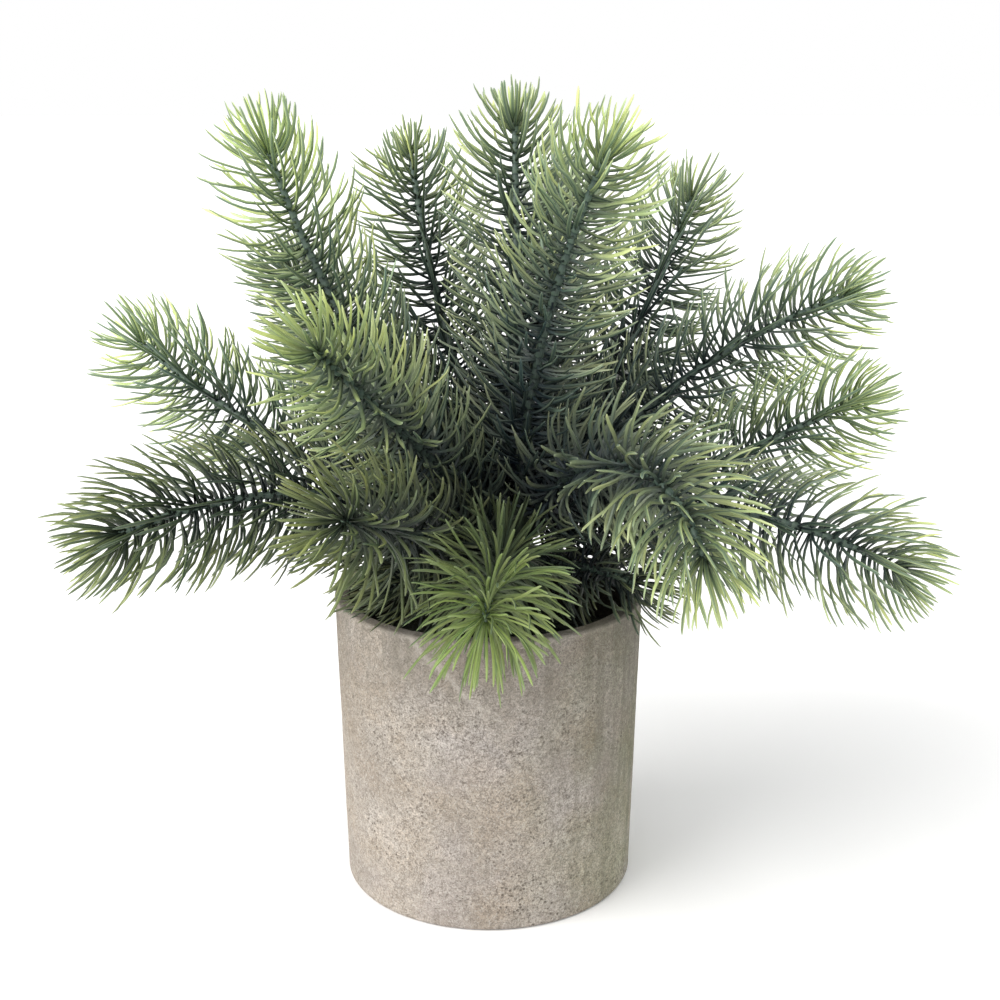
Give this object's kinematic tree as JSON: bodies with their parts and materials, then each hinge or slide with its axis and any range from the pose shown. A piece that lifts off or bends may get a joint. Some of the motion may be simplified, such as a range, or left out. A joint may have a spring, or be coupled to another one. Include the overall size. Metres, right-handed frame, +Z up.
{
  "type": "artificial tabletop tree",
  "caption": "Artificial fir arrangement: bendable moulded needle sprigs on a taped wire trunk, standing in a round grey paper-pulp pot.",
  "frame": {"origin": "centre of the pot's foot, on the surface that it stands on", "axes": "+Z up along the pot's axis; -Y is the front of the arrangement; +X is to its right as seen from the front"},
  "size_m": [0.3353, 0.282, 0.3117],
  "materials": {
    "pulp_grey": "matte",
    "cast_cement": "matte",
    "dark_fibre": "matte",
    "wire_steel": "satin",
    "floral_tape": "matte",
    "stem_green": "satin",
    "needle_green": "satin"
  },
  "bodies": {
    "planter": {"pot": "pulp_grey", "ballast": "cast_cement", "fibre_plug": "dark_fibre", "trunk_rod": "wire_steel", "trunk_tape": "floral_tape"},
    "sprig_01": {"sprig_01_stem": "stem_green", "sprig_01_needles": "needle_green"},
    "sprig_02": {"sprig_02_stem": "stem_green", "sprig_02_needles": "needle_green"},
    "sprig_03": {"sprig_03_stem": "stem_green", "sprig_03_needles": "needle_green"},
    "sprig_04": {"sprig_04_stem": "stem_green", "sprig_04_needles": "needle_green"},
    "sprig_05": {"sprig_05_stem": "stem_green", "sprig_05_needles": "needle_green"},
    "sprig_06": {"sprig_06_stem": "stem_green", "sprig_06_needles": "needle_green"},
    "sprig_07": {"sprig_07_stem": "stem_green", "sprig_07_needles": "needle_green"},
    "sprig_08": {"sprig_08_stem": "stem_green", "sprig_08_needles": "needle_green"},
    "sprig_09": {"sprig_09_stem": "stem_green", "sprig_09_needles": "needle_green"},
    "sprig_10": {"sprig_10_stem": "stem_green", "sprig_10_needles": "needle_green"},
    "sprig_11": {"sprig_11_stem": "stem_green", "sprig_11_needles": "needle_green"},
    "sprig_12": {"sprig_12_stem": "stem_green", "sprig_12_needles": "needle_green"},
    "sprig_13": {"sprig_13_stem": "stem_green", "sprig_13_needles": "needle_green"},
    "sprig_14": {"sprig_14_stem": "stem_green", "sprig_14_needles": "needle_green"},
    "sprig_15": {"sprig_15_stem": "stem_green", "sprig_15_needles": "needle_green"},
    "sprig_16": {"sprig_16_stem": "stem_green", "sprig_16_needles": "needle_green"},
    "sprig_17": {"sprig_17_stem": "stem_green", "sprig_17_needles": "needle_green"},
    "sprig_18": {"sprig_18_stem": "stem_green", "sprig_18_needles": "needle_green"},
    "sprig_19": {"sprig_19_stem": "stem_green", "sprig_19_needles": "needle_green"},
    "sprig_20": {"sprig_20_stem": "stem_green", "sprig_20_needles": "needle_green"},
    "sprig_21": {"sprig_21_stem": "stem_green", "sprig_21_needles": "needle_green"}
  },
  "joints": [
    {"name": "sprig_01_bend", "type": "hinge", "parent": "planter", "child": "sprig_01", "pos_m": [0.00202, 0.00056, 0.14], "axis": [0.0698, 0.9976, 0], "range_deg": [-10, 10]},
    {"name": "sprig_02_bend", "type": "hinge", "parent": "planter", "child": "sprig_02", "pos_m": [0.0066, 0.00012, 0.1523], "axis": [0.848, 0.5299, 0], "range_deg": [-10, 10]},
    {"name": "sprig_03_bend", "type": "hinge", "parent": "planter", "child": "sprig_03", "pos_m": [0.0116, 0.003, 0.1523], "axis": [0.9945, 0.1045, 0], "range_deg": [-14, 2]},
    {"name": "sprig_04_bend", "type": "hinge", "parent": "planter", "child": "sprig_04", "pos_m": [0.0117, -0.00294, 0.1523], "axis": [-0.7193, -0.6947, 0], "range_deg": [-14, 2]},
    {"name": "sprig_05_bend", "type": "hinge", "parent": "planter", "child": "sprig_05", "pos_m": [0.01482, 0.00639, 0.1435], "axis": [0.7986, -0.6018, 0], "range_deg": [-10, 10]},
    {"name": "sprig_06_bend", "type": "hinge", "parent": "planter", "child": "sprig_06", "pos_m": [0.01604, 0.00525, 0.136], "axis": [0.6561, -0.7547, 0], "range_deg": [-10, 8]},
    {"name": "sprig_07_bend", "type": "hinge", "parent": "planter", "child": "sprig_07", "pos_m": [0.01776, 0.00194, 0.13], "axis": [0.2419, -0.9703, 0], "range_deg": [-10, 10]},
    {"name": "sprig_08_bend", "type": "hinge", "parent": "planter", "child": "sprig_08", "pos_m": [0.01604, -0.00525, 0.143], "axis": [-0.6561, -0.7547, 0], "range_deg": [-8, 12]},
    {"name": "sprig_09_bend", "type": "hinge", "parent": "planter", "child": "sprig_09", "pos_m": [0.01785, -0.00153, 0.146], "axis": [-0.1908, -0.9816, 0], "range_deg": [-10, 15]},
    {"name": "sprig_10_bend", "type": "hinge", "parent": "planter", "child": "sprig_10", "pos_m": [0.00248, 0.00274, 0.13], "axis": [0.342, 0.9397, 0], "range_deg": [-10, 10]},
    {"name": "sprig_11_bend", "type": "hinge", "parent": "planter", "child": "sprig_11", "pos_m": [0.00217, -0.00166, 0.135], "axis": [-0.2079, 0.9781, 0], "range_deg": [-12, 12]},
    {"name": "sprig_12_bend", "type": "hinge", "parent": "planter", "child": "sprig_12", "pos_m": [0.00294, -0.00376, 0.142], "axis": [-0.4695, 0.8829, 0], "range_deg": [-10, 10]},
    {"name": "sprig_13_bend", "type": "hinge", "parent": "planter", "child": "sprig_13", "pos_m": [0.00486, -0.00613, 0.132], "axis": [-0.766, 0.6428, 0], "range_deg": [-8, 10]},
    {"name": "sprig_14_bend", "type": "hinge", "parent": "planter", "child": "sprig_14", "pos_m": [0.00889, -0.00792, 0.137], "axis": [-0.9903, 0.1392, 0], "range_deg": [-5, 12]},
    {"name": "sprig_15_bend", "type": "hinge", "parent": "planter", "child": "sprig_15", "pos_m": [0.00507, 0.0063, 0.131], "axis": [0.788, 0.6157, 0], "range_deg": [-10, 10]},
    {"name": "sprig_16_bend", "type": "hinge", "parent": "planter", "child": "sprig_16", "pos_m": [0.00889, 0.00792, 0.13], "axis": [0.9903, 0.1392, 0], "range_deg": [-10, 15]},
    {"name": "sprig_17_bend", "type": "hinge", "parent": "planter", "child": "sprig_17", "pos_m": [0.013, 0.00742, 0.131], "axis": [0.9272, -0.3746, 0], "range_deg": [-10, 12]},
    {"name": "sprig_18_bend", "type": "hinge", "parent": "planter", "child": "sprig_18", "pos_m": [0.01139, 0.00788, 0.146], "axis": [0.9848, -0.1736, 0], "range_deg": [-8, 8]},
    {"name": "sprig_19_bend", "type": "hinge", "parent": "planter", "child": "sprig_19", "pos_m": [0.00353, 0.0047, 0.146], "axis": [0.5878, 0.809, 0], "range_deg": [-8, 8]},
    {"name": "sprig_20_bend", "type": "hinge", "parent": "planter", "child": "sprig_20", "pos_m": [0.01655, -0.00459, 0.129], "axis": [-0.5736, -0.8192, 0], "range_deg": [-4, 8]},
    {"name": "sprig_21_bend", "type": "hinge", "parent": "planter", "child": "sprig_21", "pos_m": [0.00337, -0.00447, 0.128], "axis": [-0.5592, 0.829, 0], "range_deg": [-4, 8]}
  ]
}
